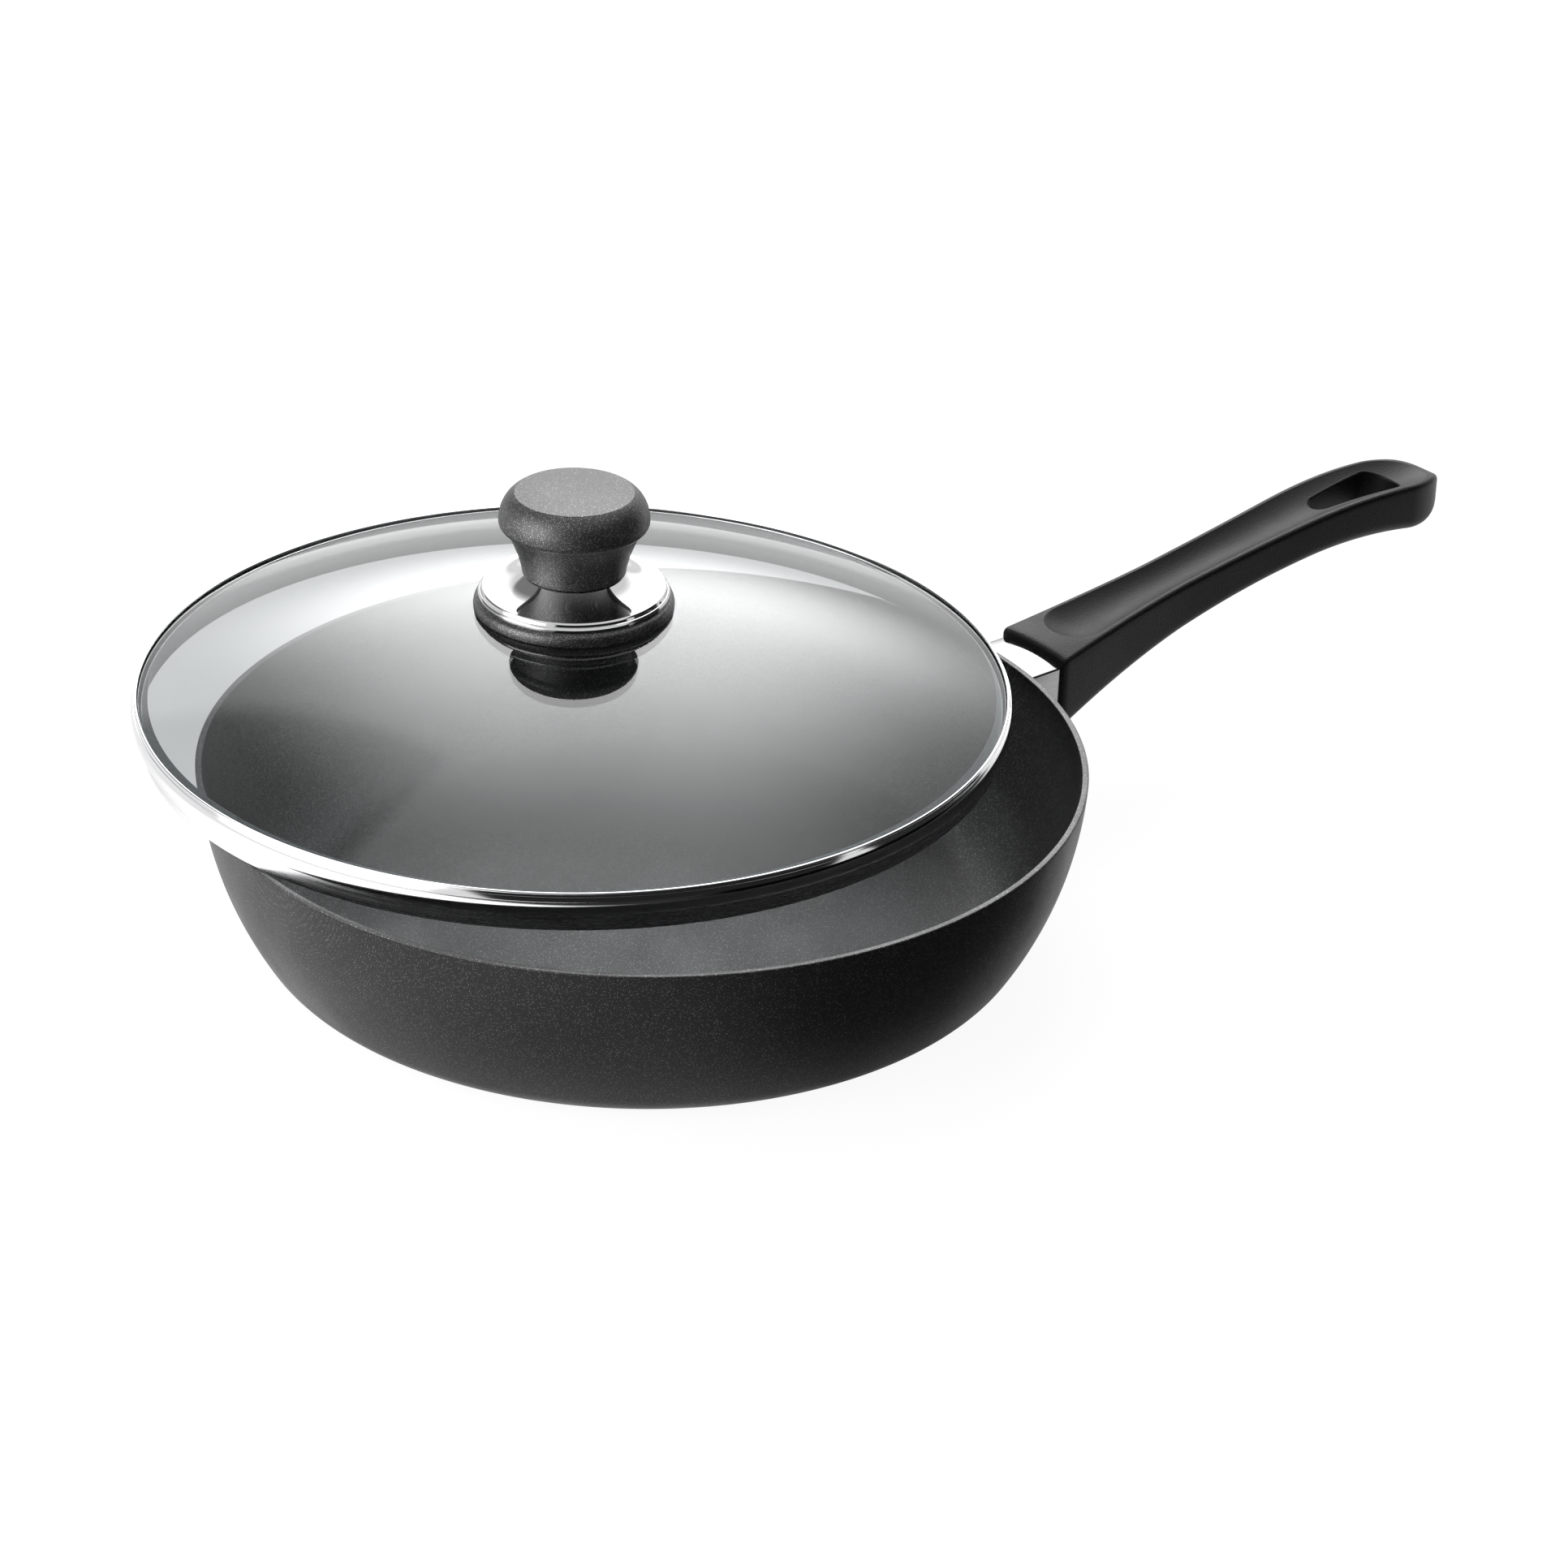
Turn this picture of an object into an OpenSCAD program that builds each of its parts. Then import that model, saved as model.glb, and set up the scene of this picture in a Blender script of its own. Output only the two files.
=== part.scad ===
// Saute pan with a domed glass lid, a polished handle sleeve and a moulded grip.
// Origin: centre of the underside of the base. +X runs along the handle, +Z is up.
// The lid is drawn as it lies in use for steaming: level, and pushed sideways on the rim.

/* [Pan] */
// Outer radius of the pan at its rim
pan_r = 140; // [120:1:160]
// Height from the underside to the rim
pan_h = 60; // [50:1:80]
// Thickness of the wall at the rim
wall_t = 2.1; // [1.8:0.1:3.5]
// Thickness of the floor
floor_t = 6.5; // [5:0.5:9]
// Radius of the long curve of the wall, seen from the side
wall_curve_r = 112.7; // [100:0.1:150]
// Lean of the wall at the rim, in degrees from upright
rim_lean = 2.9; // [1:0.1:6]
// Outside radius where the wall turns into the base
base_corner_r = 16.2; // [12:0.1:22]
// Inside radius where the wall turns into the floor
floor_fillet_r = 28; // [20:1:34]
// Width of the aluminium ring left round the base plate
base_margin = 18.3; // [10:0.1:30]
// Thickness of the steel base plate
base_plate_t = 1; // [0.6:0.1:2]

/* [Handle sleeve] */
// Distance from the rim to the front of the grip
sleeve_len = 24; // [18:1:32]
// Thickness of the sleeve's metal
sleeve_t = 1; // [0.6:0.1:1.6]
// Rise of the sleeve's top from its edges to its middle
sleeve_crown = 1.3; // [0.5:0.1:2]
// Width of the lug cast on the pan inside the sleeve
lug_w = 16; // [12:1:20]
// Height of the lug
lug_h = 9.5; // [7:0.5:10]
// Reach of the lug into the grip
lug_reach = 17; // [15:1:24]

/* [Grip] */
// Length of the grip
grip_len = 188; // [160:1:220]
// Drop from the rim to the top edge of the grip's front
grip_drop = 7.7; // [6:0.1:12]
// Width of the grip at its front
grip_front_w = 32.4; // [30:0.2:36]
// Height of the grip at its front
grip_front_h = 26.9; // [25:0.1:30]
// Width of the grip at its waist
grip_waist_w = 22.3; // [19:0.1:26]
// Distance from the front to the narrowest width
grip_waist_at = 61; // [50:1:80]
// Height of the grip where it is thinnest
grip_thin_h = 14.6; // [13:0.1:18]
// Distance from the front to the thinnest height
grip_thin_at = 113.5; // [100:0.5:125]
// Width of the grip round the hanging slot
grip_end_w = 28.2; // [25:0.2:32]
// Upward slope of the grip at its front, in degrees
grip_rise = 9.95; // [6:0.05:14]
// Radius of the long curve of the grip's back
grip_back_r = 3100; // [1500:10:6000]
// Distance from the front to where the grip bends level
grip_bend_at = 117.5; // [100:0.5:135]
// Radius of the bend that levels the grip
grip_bend_r = 251; // [180:1:400]
// Length of the rounded end of the grip
grip_cap_len = 22.8; // [18:0.2:28]
// Radius of the grip's upper edges
grip_edge_r = 1.5; // [0.8:0.1:2.5]
// Radius of the grip's lower edges
grip_under_r = 4; // [3:0.1:6]
// Depth of the thumb groove
groove_depth = 3.3; // [1:0.1:4]
// Width of the raised edge beside the thumb groove
groove_land = 2.2; // [1.6:0.1:3.5]
// Distance from the front to the start of the thumb groove
groove_start = 8.8; // [6:0.2:20]
// Width of the raised edge beyond the far end of the thumb groove
groove_end_land = 6.5; // [4:0.5:10]

/* [Hanging slot] */
// Length of the slot
slot_len = 39; // [30:1:44]
// Width of the slot's narrow end
slot_near_w = 9.4; // [7:0.2:11]
// Width of the slot's wide end
slot_far_w = 16.6; // [12:0.2:18]
// Corner radius of the slot's wide end
slot_corner_r = 3; // [2:0.1:5]
// Solid length left beyond the slot
slot_end_margin = 20; // [18:1:30]

/* [Lid] */
// Step of the lid's crest inside the pan's outer radius
lid_step = 1.5; // [1:0.1:2.5]
// Height of the glass dome above the lid's crest
dome_h = 30; // [20:0.1:45]
// Thickness of the glass
glass_t = 4; // [3:0.1:5]
// Height of the rounded band that shows outside
band_h = 5.9; // [5:0.1:9]
// Radius of the bulge of the band
band_bulge_r = 7; // [5:0.1:12]
// Depth of the skirt below the band
skirt_h = 6.3; // [4:0.1:10]
// Thickness of the skirt
skirt_t = 0.6; // [0.5:0.1:1.2]
// Gap between the skirt and the inside of the pan when the lid is closed
skirt_gap = 0.25; // [0.2:0.05:1]
// Radius of the rolled bead against the glass
bead_r = 0.45; // [0.3:0.05:0.8]

/* [Lid position] */
// Sideways push of the lid along X
lid_x = -3.7; // [-20:0.1:20]
// Sideways push of the lid along Y
lid_y = 32.6; // [0:0.1:45]
// Clearance of the skirt above the rim
lid_gap = 0.3; // [0.2:0.1:2]

/* [Knob] */
// Radius of the knob's flat top
knob_top_r = 18.8; // [14:0.1:22]
// Largest radius of the knob's head
knob_head_r = 23.8; // [22.5:0.1:28]
// Radius of the crease under the head
knob_crease_r = 21.6; // [17.5:0.1:22.3]
// Radius of the foot of the neck
knob_foot_r = 16.4; // [14:0.1:17]
// Height of the neck
neck_h = 15.1; // [10:0.1:20]
// Height of the head's underside, from the crease to the widest line
head_low_h = 2.2; // [1.5:0.1:6]
// Height of the head above its widest line
head_high_h = 9.4; // [6:0.1:12]
// Radius of the polished disc
disc_r = 30.3; // [28:0.1:34]
// Height of the disc's stepped edge
disc_edge_h = 2.9; // [2:0.1:4]
// Rise of the disc from its edge to the knob
disc_rise = 5; // [3:0.1:8]
// Thickness of the disc's metal
disc_t = 1; // [0.6:0.1:1.4]
// Bulge of the black base beyond the disc
base_bulge = 1.5; // [0.5:0.1:3]
// Height of the black base at its edge
base_h = 2.9; // [2.5:0.1:8]

/* [Fixings] */
// Radius of the screws
screw_r = 2.5; // [2:0.5:3]
// Radius of the knob screw's head
screw_head_r = 5; // [4.5:0.1:6]
// Height of the knob screw's head
screw_head_h = 3; // [2:0.1:4]
// Radius of the handle screw's head
grip_screw_head_r = 4; // [3.8:0.1:4.5]
// Height of the handle screw's head
grip_screw_head_h = 2; // [1.5:0.1:2.4]
// Distance from the grip's front to the handle screw
grip_screw_at = 9; // [8:0.5:10]
// Wall of the grip between the handle screw's seat and the lug
seat_t = 2.2; // [1.8:0.1:3]
// Thickness of the spring washers
lock_washer_t = 0.8; // [0.5:0.1:1.2]
// Radius of the hole in the glass
glass_hole_r = 6; // [5:0.1:8]
// Radius of the soft grommet's flange
grommet_r = 10; // [9:0.5:14]
// Thickness of the grommet's flange
grommet_t = 1.5; // [1:0.1:3]
// Radius of the flat washer under the glass
washer_r = 8; // [7.5:0.5:9]
// Thickness of the flat washer
washer_t = 1; // [0.8:0.1:2]
// Radius of the threaded insert in the knob
insert_r = 4.5; // [4:0.1:6]
// Length of the threaded insert
insert_h = 11; // [8:0.5:12]

/* [Hidden] */
$fn = 96;
// Clearance between pieces that are fitted together
fit = 0.1;
// Clearance round the screws where they pass through freely
loose = 0.3;
// Overlap of cutting tools past a face
past = 1;
// Width of the cuts in screw heads and spring washers
cut_w = 1;

// Pan: the wall's arc, and the arcs that turn it into the base and the floor
wall_c = [pan_r - wall_curve_r * cos(rim_lean), pan_h + wall_curve_r * sin(rim_lean)];
function corner_c(r, z, arc_r) =
    [wall_c[0] + sqrt(pow(arc_r - r, 2) - pow(wall_c[1] - z - r, 2)), z + r];
base_c = corner_c(base_corner_r, 0, wall_curve_r);
floor_c = corner_c(floor_fillet_r, floor_t, wall_curve_r - wall_t);
base_plate_r = base_c[0] - base_margin;

// Handle: heights and distances of the sleeve, the lug and the grip's front
grip_x = pan_r + sleeve_len;
grip_z = pan_h - grip_drop;
lip_side = 1.5;
lip_top = 2.9;
lip_bottom = 4.6;
nose_len = 2;
nose_in = 1.3;
lug_gap = 0.8;
lug_end_gap = 0.5;
sleeve_half_w = grip_front_w / 2 - lip_side;
sleeve_top = grip_z - lip_top;
sleeve_bottom = grip_z - grip_front_h + lip_bottom;
lug_top = sleeve_top - sleeve_t - lug_gap;
lug_bottom = lug_top - lug_h;
lug_fit = 0.2;
screw_x = grip_x + grip_screw_at;
screw_seat = lug_bottom - lug_fit - seat_t;
slot_end = grip_x + grip_len - slot_end_margin;
// Grip: lengths over which the crown at its front and the groove's round ends run out
crown_len = 24;
groove_front_run = 12;
groove_far_run = 17;
groove_far = grip_len - groove_end_land;
width_lead = 2;
// Tip of the grip: the top falls and the underside rises by shares of its height, over two runs
tip_top_run = 11.9;
tip_top_share = 0.19;
tip_under_run = 22.6;
tip_under_share = 0.645;

// Lid: the glass is a piece of a sphere through the crest and the top of the dome
crest_r = pan_r - lid_step;
dome_r = (pow(crest_r, 2) + pow(dome_h, 2)) / (2 * dome_h);
dome_c = dome_h - dome_r;
glass_r = crest_r + 0.2;
lip_r = crest_r - 0.5;
skirt_r = pan_r - wall_t - skirt_gap;
lid_z = pan_h + lid_gap + skirt_h + band_h;
// Band: the ledge that the glass rests on, the lead-in of the skirt and the valley beside the bead
ledge_w = 5;
ledge_t = 0.8;
ledge_slope = 2;
ledge_r = crest_r - ledge_w;
skirt_taper = 0.4;
valley_w = 0.2;
valley_h = 0.05;

// Knob: heights above the top of the glass
disc_z = base_h + disc_edge_h;
foot_z = disc_z + disc_rise;
crease_z = foot_z + neck_h;
wide_z = crease_z + head_low_h;
knob_top_z = wide_z + head_high_h;
// Disc: its edge steps in by disc_step_w over disc_edge_h, given as shares of the two
disc_step_w = 1.4;
disc_steps = [[0, 0.31], [0.36, 0.52], [0.57, 0.55], [0.71, 0.83]];
disc_wall = 2.2;
disc_hub_r = knob_foot_r - 0.4;
// Base: the recess in its top, the boss that carries the disc, and its depth into the dome
base_recess = 1.5;
base_land = 2.8;
boss_w = 5;
base_foot = 0.1;
base_depth = 3;
// The bulge starts below the disc and ends where the dome falls away under the base's edge
base_neck = 0.5;
base_drop = dome_r - sqrt(pow(dome_r, 2) - pow(disc_r, 2));
base_mid = (base_h - base_neck - base_drop) / 2;
base_half = (base_h - base_neck + base_drop) / 2 - base_foot;
// Heights of the pieces below the glass, measured down from its top
grommet_z = -glass_t - 2 * fit;
washer_z = grommet_z - grommet_t;
lock_z = washer_z - washer_t;
head_z = lock_z - lock_washer_t;

function arc(c, r, a0, a1, n) =
    [for (i = [0:n]) c + r * [cos(a0 + (a1 - a0) * i / n), sin(a0 + (a1 - a0) * i / n)]];
function oval(c, rx, ry, a0, a1, n) =
    [for (i = [0:n]) c + [rx * cos(a0 + (a1 - a0) * i / n), ry * sin(a0 + (a1 - a0) * i / n)]];
function ease(t) = let(u = min(1, max(0, t))) u * u * (3 - 2 * u);

module ring(outer, inner, h) {
    difference() {
        cylinder(r = outer, h = h);
        translate([0, 0, -past]) cylinder(r = inner, h = h + 2 * past);
    }
}

// Outside of the pan as one line from the middle of the base to the rim
function pan_outside() =
    let(a = atan2(base_c[1] - wall_c[1], base_c[0] - wall_c[0]))
    concat(arc(base_c, base_corner_r, -90, a, 8), arc(wall_c, wall_curve_r, a, -rim_lean, 14));

// Inside of the pan as one line from the rim to the middle of the floor
function pan_inside() =
    let(r = wall_curve_r - wall_t,
        a = atan2(floor_c[1] - wall_c[1], floor_c[0] - wall_c[0]),
        top = -asin((wall_c[1] - pan_h) / r))
    concat(arc(wall_c, r, top, a, 14), arc(floor_c, floor_fillet_r, a, -90, 10));

module pan_cavity() {
    rotate_extrude($fn = 180)
        polygon(concat([[0, pan_h + past]], [[pan_inside()[0][0], pan_h + past]], pan_inside(),
                       [[0, floor_t]]));
}

module pan_solid(grow = 0) {
    rotate_extrude($fn = 180)
        polygon(concat([[0, 0]], [for (p = pan_outside()) p + [grow, 0]], [[0, pan_h]]));
}

module lug() {
    translate([pan_r / 2, -lug_w / 2, lug_bottom])
        cube([grip_x + lug_reach - pan_r / 2, lug_w, lug_h]);
}

// Cast pan with the lug that carries the handle
module pan_body() {
    color("dimgray") difference() {
        union() {
            pan_solid();
            lug();
        }
        pan_cavity();
        translate([0, 0, -past]) cylinder(r = base_plate_r + fit, h = base_plate_t + past);
        translate([screw_x, 0, lug_bottom - past]) cylinder(r = screw_r + fit, h = lug_h + 2 * past);
    }
}

// Steel disc pressed into the underside
module base_plate() {
    color("silver") cylinder(r = base_plate_r, h = base_plate_t);
}

// Outline of the sleeve across the handle, with a crowned top
module sleeve_outline(inset) {
    half_w = sleeve_half_w - inset;
    crown = sleeve_crown;
    r = (pow(half_w, 2) + pow(crown, 2)) / (2 * crown);
    top = sleeve_top - inset;
    a = asin(half_w / r);
    polygon(concat([[-half_w, sleeve_bottom + inset], [half_w, sleeve_bottom + inset]],
                   arc([0, top + crown - r], r, 90 - a, 90 + a, 12)));
}

// Hollow polished sleeve between the pan and the grip
module handle_sleeve() {
    start = pan_r / 2;
    color("lightgray") difference() {
        translate([start, 0, 0]) rotate([90, 0, 90]) linear_extrude(grip_x - start) sleeve_outline(0);
        translate([start - past, 0, 0]) rotate([90, 0, 90])
            linear_extrude(grip_x - start + 2 * past) sleeve_outline(sleeve_t);
        pan_solid(fit);
    }
}

// Shape of the grip at a distance d from its front
function grip_bend(d) = pow(max(0, d - grip_bend_at), 2) / (2 * grip_bend_r);
function grip_top(d) = grip_z + d * tan(grip_rise) - d * d / (2 * grip_back_r) - grip_bend(d);
function grip_h(d) =
    grip_thin_h + (grip_front_h - grip_thin_h) * pow((d - grip_thin_at) / grip_thin_at, 2);
function grip_half_w(d) =
    let(end_at = grip_len - grip_cap_len - width_lead,
        t = min(1, max(0, (d - grip_waist_at) / (end_at - grip_waist_at))))
    (d < grip_waist_at
        ? grip_waist_w + (grip_front_w - grip_waist_w) * pow(1 - d / grip_waist_at, 1.5)
        : grip_waist_w + (grip_end_w - grip_waist_w) * ease(pow(t, 1.3))) / 2;
function grip_cap(d) =
    let(u = max(0, (d - grip_len + grip_cap_len) / grip_cap_len)) pow(1 - pow(u, 1.8), 1 / 1.8);
function grip_nose(d) = d < nose_len ? nose_in * (1 - sqrt(1 - pow(1 - d / nose_len, 2))) : 0;
// Share of the change in height that is reached at d, on a run that ends at the tip
function tip_part(d, run) = let(v = max(0, (d - grip_len + run) / run)) 1 - sqrt(1 - v * v);
function grip_high(d) =
    grip_top(d) - tip_top_share * grip_h(grip_len) * tip_part(d, tip_top_run) - grip_nose(d);
function grip_low(d) =
    grip_top(d) - grip_h(d) + tip_under_share * grip_h(grip_len) * tip_part(d, tip_under_run) + grip_nose(d);

// Groove: its half width, how far d is into one of its round ends, its edge and its depth
function groove_half_w(d) = grip_half_w(d) - groove_land;
function groove_end(d) = max(0, (groove_start + groove_front_run - d) / groove_front_run,
                             (d - groove_far + groove_far_run) / groove_far_run);
function groove_edge(d, side) =
    max(0.3 * side, min(0.95 * side, groove_half_w(d) * sqrt(max(0, 1 - pow(groove_end(d), 2)))));
function groove(d, y) =
    groove_depth * max(0, 1 - pow(groove_end(d), 2) - pow(y / groove_half_w(d), 2));

// Half of the grip's section, from the middle of its underside to the middle of its top
function grip_half(d) =
    let(w = grip_half_w(d) * grip_cap(d) - grip_nose(d),
        t = grip_high(d),
        b = grip_low(d),
        er = min(grip_edge_r, 0.3 * w), ur = min(grip_under_r, 0.6 * w, 0.45 * (t - b)),
        edge = groove_edge(d, w - er),
        crown = 1 - ease(d / crown_len))
    concat(
        [[0, b]],
        arc([w - ur, b + ur], ur, -90, 0, 4),
        arc([w - er, t - er], er, 0, 90, 3),
        [for (y = concat([(w - er + edge) / 2], [for (i = [5:-1:0]) edge * i / 5]))
            [y, t - groove(d, y) + crown * (1 - pow(y / w, 2))]]);
function grip_ring(d) =
    let(h = grip_half(d), n = len(h))
    concat([for (p = h) [grip_x + d, p[0], p[1]]],
           [for (i = [n - 2:-1:1]) [grip_x + d, -h[i][0], h[i][1]]]);

module grip_solid() {
    body_end = grip_len - grip_cap_len;
    places = concat([0, 0.25, 0.6, 1] * nose_len,
                    [for (i = [1:54]) nose_len + (body_end - nose_len) * i / 54],
                    [for (i = [1:10]) body_end + grip_cap_len * sin(8.6 * i)]);
    rings = [for (d = places) grip_ring(d)];
    n = len(rings[0]);
    m = len(rings);
    middles = [for (d = [places[0], places[m - 1]]) [grip_x + d, 0, (grip_high(d) + grip_low(d)) / 2]];
    polyhedron(
        points = concat([for (r = rings) for (p = r) p], middles),
        faces = [for (i = [0:n - 1]) let(k = (i + 1) % n) each concat(
            [[m * n, i, k]],
            [for (j = [0:m - 2]) each [[j * n + i, (j + 1) * n + i, (j + 1) * n + k],
                                       [j * n + i, (j + 1) * n + k, j * n + k]]],
            [[m * n + 1, (m - 1) * n + k, (m - 1) * n + i]])]);
}

module slot_outline() {
    hull() {
        translate([slot_end - slot_len + slot_near_w / 2, 0]) circle(d = slot_near_w, $fn = 32);
        for (s = [-1, 1])
            translate([slot_end - slot_corner_r, s * (slot_far_w / 2 - slot_corner_r)])
                circle(r = slot_corner_r, $fn = 32);
    }
}

// Moulded grip with a thumb groove, a hanging slot and a socket for the lug
module handle_grip() {
    color([0.1, 0.1, 0.1]) difference() {
        grip_solid();
        linear_extrude(pan_h + grip_len) slot_outline();
        translate([grip_x - past, -lug_w / 2 - lug_fit, lug_bottom - lug_fit])
            cube([lug_reach + past + lug_end_gap, lug_w + 2 * lug_fit, lug_h + 2 * lug_fit]);
        translate([screw_x, 0, screw_seat - grip_front_h])
            cylinder(r = grip_screw_head_r + loose, h = grip_front_h);
        translate([screw_x, 0, screw_seat - past]) cylinder(r = screw_r + loose, h = seat_t + 2 * past);
    }
}

// Screw with a round head and a straight driver slot, pointing up from its seat
module screw(head_r, head_h, shank) {
    difference() {
        union() {
            translate([0, 0, -head_h]) cylinder(r1 = head_r * 0.8, r2 = head_r, h = head_h);
            cylinder(r = screw_r, h = shank);
        }
        translate([-head_r, -cut_w / 2, -head_h - past]) cube([2 * head_r, cut_w, head_h / 2 + past]);
    }
}

module handle_screw() {
    color("silver") translate([screw_x, 0, screw_seat - lock_washer_t])
        screw(grip_screw_head_r, grip_screw_head_h, lug_top - screw_seat + lock_washer_t - lug_end_gap);
}

// Spring washer with its cut
module split_washer(outer) {
    difference() {
        ring(outer, screw_r + fit, lock_washer_t);
        translate([0, -cut_w / 2, -past]) cube([outer + past, cut_w, lock_washer_t + 2 * past]);
    }
}

module handle_lock_washer() {
    color("silver") translate([screw_x, 0, screw_seat - lock_washer_t]) split_washer(grip_screw_head_r);
}

// Places a piece of the lid from the plane of its crest
module on_lid() {
    translate([lid_x, lid_y, lid_z]) children();
}

// Places a piece of the knob from the top of the glass
module on_glass() {
    on_lid() translate([0, 0, dome_h]) children();
}

// Space between two spheres that are parallel to the glass
module dome_shell(above, below, r) {
    translate([0, 0, dome_c]) intersection() {
        difference() {
            sphere(r = dome_r + above, $fn = 180);
            sphere(r = dome_r - glass_t - below, $fn = 180);
        }
        cylinder(r = r, h = 2 * dome_r);
    }
}

module lid_glass() {
    color([0.75, 0.85, 0.85, 0.35]) on_lid() difference() {
        dome_shell(0, 0, glass_r);
        cylinder(r = glass_hole_r, h = dome_h + past);
    }
}

// Height of the glass above the crest at radius r, on its top and on its underside
function glass_top(r) = dome_c + sqrt(pow(dome_r, 2) - pow(r, 2));
function glass_under(r) = dome_c + sqrt(pow(dome_r - glass_t, 2) - pow(r, 2));

// Section of the steel band: a bead on the glass, a bulged side, a skirt and a ledge
module band_section() {
    bead_c = [lip_r + bead_r, glass_top(lip_r) + bead_r + fit];
    bulge_c = [pan_r - band_bulge_r, -band_h / 2];
    a = asin(band_h / 2 / band_bulge_r);
    polygon(concat(
        [[ledge_r, glass_under(ledge_r) - ledge_t], [ledge_r, glass_under(ledge_r) + past]],
        [[lip_r, glass_top(lip_r) - past]],
        arc(bead_c, bead_r, 180, -10, 10),
        [[bulge_c[0] + band_bulge_r * cos(a) - valley_w, -valley_h]],
        arc(bulge_c, band_bulge_r, a, -a, 8),
        [[skirt_r, -band_h], [skirt_r - skirt_taper, -band_h - skirt_h],
         [skirt_r - skirt_taper - skirt_t, -band_h - skirt_h], [skirt_r - skirt_t, -band_h],
         [ledge_r + ledge_slope, -band_h + ledge_t]]));
}

module lid_rim_band() {
    color("gainsboro") on_lid() difference() {
        rotate_extrude($fn = 180) band_section();
        dome_shell(fit / 2, fit / 2, glass_r + fit);
    }
}

// Moulded knob: a flared neck under a rounded head with a flat top
module knob() {
    color([0.12, 0.12, 0.12]) on_glass() difference() {
        rotate_extrude()
            polygon(concat(
                [[0, foot_z]],
                [for (i = [0:8]) let(t = i / 8)
                    [knob_foot_r + (knob_crease_r - knob_foot_r) * pow(t, 1.4), foot_z + neck_h * t]],
                oval([knob_crease_r, wide_z], knob_head_r - knob_crease_r, head_low_h, -80, 0, 7),
                oval([knob_top_r, wide_z], knob_head_r - knob_top_r, head_high_h, 8, 86, 9),
                [[knob_top_r, knob_top_z], [0, knob_top_z]]));
        translate([0, 0, foot_z - past]) cylinder(r = insert_r + fit / 2, h = insert_h + past + loose);
    }
}

// Threaded brass insert moulded into the knob
module knob_insert() {
    color("goldenrod") on_glass() translate([0, 0, foot_z + fit / 2])
        ring(insert_r, screw_r + fit / 2, insert_h);
}

// Trumpet curve of the disc, from inside its stepped edge to under the foot of the knob
function disc_curve(lower) =
    let(from = disc_r - disc_step_w, run = from - disc_hub_r)
    [for (i = [0:14]) [from - run * i / 14 - lower * 0.6, disc_z + disc_rise * pow(i / 14, 1.9) - lower]];

// Polished disc under the knob, with a stepped edge
module knob_disc() {
    color("white") on_glass() difference() {
        rotate_extrude() polygon(concat(
            [[disc_r, base_h + fit]],
            [for (s = disc_steps) [disc_r - disc_step_w * s[0], base_h + disc_edge_h * s[1]]],
            disc_curve(0), [[0, foot_z], [0, foot_z - disc_t]],
            [for (i = [14:-1:0]) disc_curve(disc_t)[i]],
            [[disc_r - disc_wall, base_h + fit]]));
        translate([0, 0, base_h]) cylinder(r = screw_r + loose, h = disc_edge_h + disc_rise + past);
    }
}

// Black base between the glass and the polished disc, shaped to the dome underneath
module knob_base() {
    color([0.08, 0.08, 0.08]) on_glass() difference() {
        rotate_extrude()
            polygon(concat(
                [[0, -base_depth], [disc_r, -base_depth]],
                oval([disc_r, base_mid], base_bulge, base_half, -80, 80, 12),
                [[disc_r, base_h], [disc_r - disc_wall, base_h], [disc_r - base_land, base_h - base_recess],
                 [insert_r + boss_w, base_h - base_recess], [insert_r + boss_w, foot_z - disc_t - fit],
                 [0, foot_z - disc_t - fit]]));
        translate([0, 0, -dome_r]) sphere(r = dome_r + fit, $fn = 180);
        translate([0, 0, -past - base_depth])
            cylinder(r = screw_r + loose, h = base_depth + foot_z + 2 * past);
    }
}

// Soft grommet that keeps the screw off the glass
module glass_grommet() {
    color("white") on_glass() difference() {
        union() {
            translate([0, 0, grommet_z - grommet_t]) cylinder(r = grommet_r, h = grommet_t);
            translate([0, 0, grommet_z - past]) cylinder(r = glass_hole_r - fit, h = glass_t + past + fit);
        }
        translate([0, 0, washer_z - past]) cylinder(r = screw_r + fit, h = glass_t + grommet_t + 3 * past);
    }
}

module knob_washer() {
    color("silver") on_glass() translate([0, 0, washer_z - washer_t])
        ring(washer_r, screw_r + fit, washer_t);
}

module knob_lock_washer() {
    color("silver") on_glass() translate([0, 0, lock_z - lock_washer_t])
        split_washer(screw_head_r - 4 * fit);
}

module knob_screw() {
    color("silver") on_glass() translate([0, 0, head_z])
        screw(screw_head_r, screw_head_h, foot_z + insert_h - 2 - head_z);
}

pan_body();
base_plate();
handle_sleeve();
handle_grip();
handle_screw();
handle_lock_washer();
lid_glass();
lid_rim_band();
knob();
knob_insert();
knob_disc();
knob_base();
glass_grommet();
knob_washer();
knob_lock_washer();
knob_screw();
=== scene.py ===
"""Looks of a saute pan with a glass lid set sideways on its rim.

All sizes are in millimetres in the part's own frame, as in its source, and become metres when
a mesh is made. The pan, grip, sleeve, glass, band, knob, disc and base are built here in finer
meshes over the CAD nodes they replace. The screws, washers, insert and grommet stay as packed.
"""

import math

import bmesh
import bpy
from mathutils import Matrix, Vector


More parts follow.
